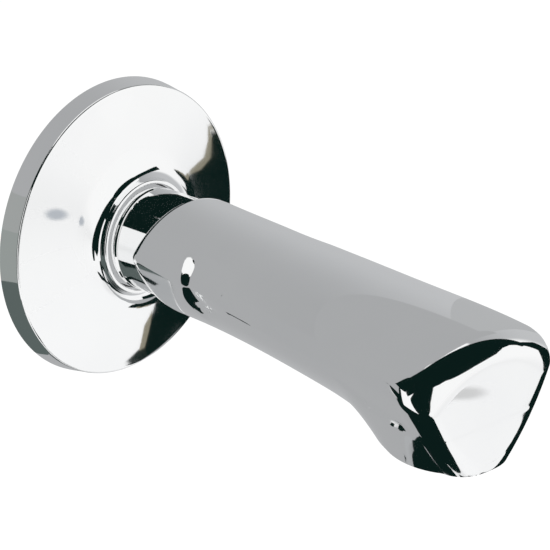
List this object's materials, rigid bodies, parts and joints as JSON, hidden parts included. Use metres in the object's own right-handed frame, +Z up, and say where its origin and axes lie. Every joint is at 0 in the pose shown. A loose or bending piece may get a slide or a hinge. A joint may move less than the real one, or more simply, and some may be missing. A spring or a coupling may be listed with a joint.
{
  "type": "bath spout",
  "caption": "Wall-mounted bath spout with a sloping three-sided body, a loose round rosette on its shank and a screwed aerator under the nose",
  "frame": {"origin": "on the axis of the wall thread, in the plane of the finished wall", "axes": "+Y along the wall thread into the wall, +Z up, so the spout reaches out along -Y"},
  "size_m": [0.07, 0.13, 0.07],
  "materials": {
    "body_chrome": "polished plating on a brass casting",
    "rosette_chrome": "polished plating on pressed brass sheet",
    "nipple_brass": "turned, plated collar",
    "black_rubber": "moulded rubber",
    "grey_seal": "soft flat seal",
    "white_washer": "flat plastic washer",
    "screw_steel": "stainless steel",
    "housing_plastic": "moulded plastic",
    "insert_plastic": "moulded plastic",
    "grid_plastic": "moulded plastic",
    "screen_steel": "woven stainless wire",
    "regulator_plastic": "moulded plastic",
    "strainer_plastic": "moulded plastic"
  },
  "bodies": {
    "spout": {"wall_nipple": "nipple_brass", "nipple_o_rings": "black_rubber", "shank_washer": "white_washer", "spout_body": "body_chrome", "grub_screw": "screw_steel"},
    "grip_ring": {"rosette_grip_ring": "black_rubber"},
    "rosette": {"rosette": "rosette_chrome", "rosette_wall_seal": "grey_seal"},
    "aerator_insert": {"aerator_gasket": "black_rubber", "outlet_grid": "grid_plastic", "insert_sleeve": "insert_plastic", "lower_screen": "screen_steel", "screen_spacer": "insert_plastic", "upper_screen": "screen_steel", "jet_disc": "insert_plastic", "regulator_cone": "regulator_plastic", "regulator_o_ring": "black_rubber", "regulator_cap": "regulator_plastic", "dome_strainer": "strainer_plastic"},
    "aerator_housing": {"aerator_housing": "housing_plastic"}
  },
  "joints": [
    {"name": "rosette_slide", "type": "slide", "parent": "spout", "child": "grip_ring", "axis": [0, -1, 0], "range_m": [0, 0.012]},
    {"name": "rosette_turn", "type": "hinge", "parent": "grip_ring", "child": "rosette", "pos_m": [0, 0, 0], "axis": [0, -1, 0], "continuous": true},
    {"name": "aerator_travel", "type": "slide", "parent": "spout", "child": "aerator_insert", "axis": [0, 0.1478, -0.989], "range_m": [0, 0.006]},
    {"name": "aerator_turn", "type": "hinge", "parent": "aerator_insert", "child": "aerator_housing", "pos_m": [0, -0.1028, -0.0248], "axis": [0, 0.1478, -0.989], "range_deg": [0, 2160]}
  ],
  "couplings": [
    {"joint": "aerator_travel", "follows": "aerator_turn", "m_per_rad": 0.00015915}
  ]
}
